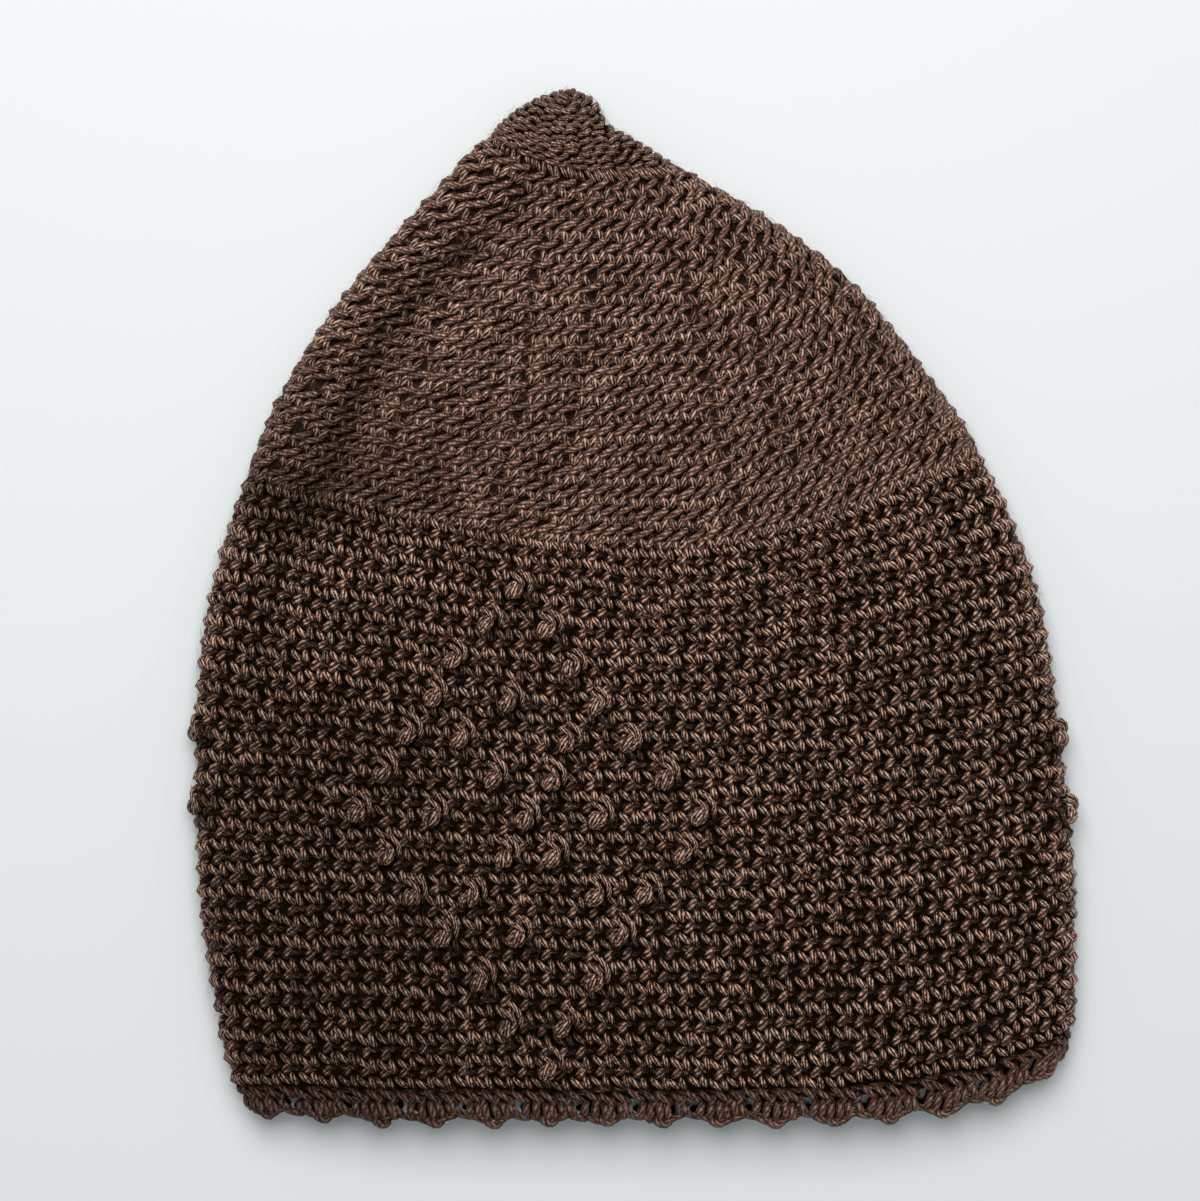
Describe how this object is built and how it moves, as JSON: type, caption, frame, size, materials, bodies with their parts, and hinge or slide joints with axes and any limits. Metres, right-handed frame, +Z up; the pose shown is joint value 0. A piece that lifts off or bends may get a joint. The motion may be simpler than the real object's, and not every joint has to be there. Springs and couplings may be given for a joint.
{
  "type": "crocheted prayer cap",
  "caption": "Pointed crocheted prayer cap in brown yarn, lying flat, with a diamond of raised bobbles on the wall and a scalloped picot edge round the rim.",
  "frame": {"origin": "on the surface the cap lies on, under the middle of its bounding box", "axes": "+Y from the rim to the tip, +X across the cap to the right as seen from above, +Z up from the surface"},
  "size_m": [0.2226, 0.2578, 0.0187],
  "materials": {
    "crown_yarn": "matte",
    "wall_yarn": "matte",
    "edging_yarn": "matte"
  },
  "bodies": {
    "root": {"crown": "crown_yarn", "side_wall": "wall_yarn", "picot_edging": "edging_yarn"}
  },
  "joints": []
}
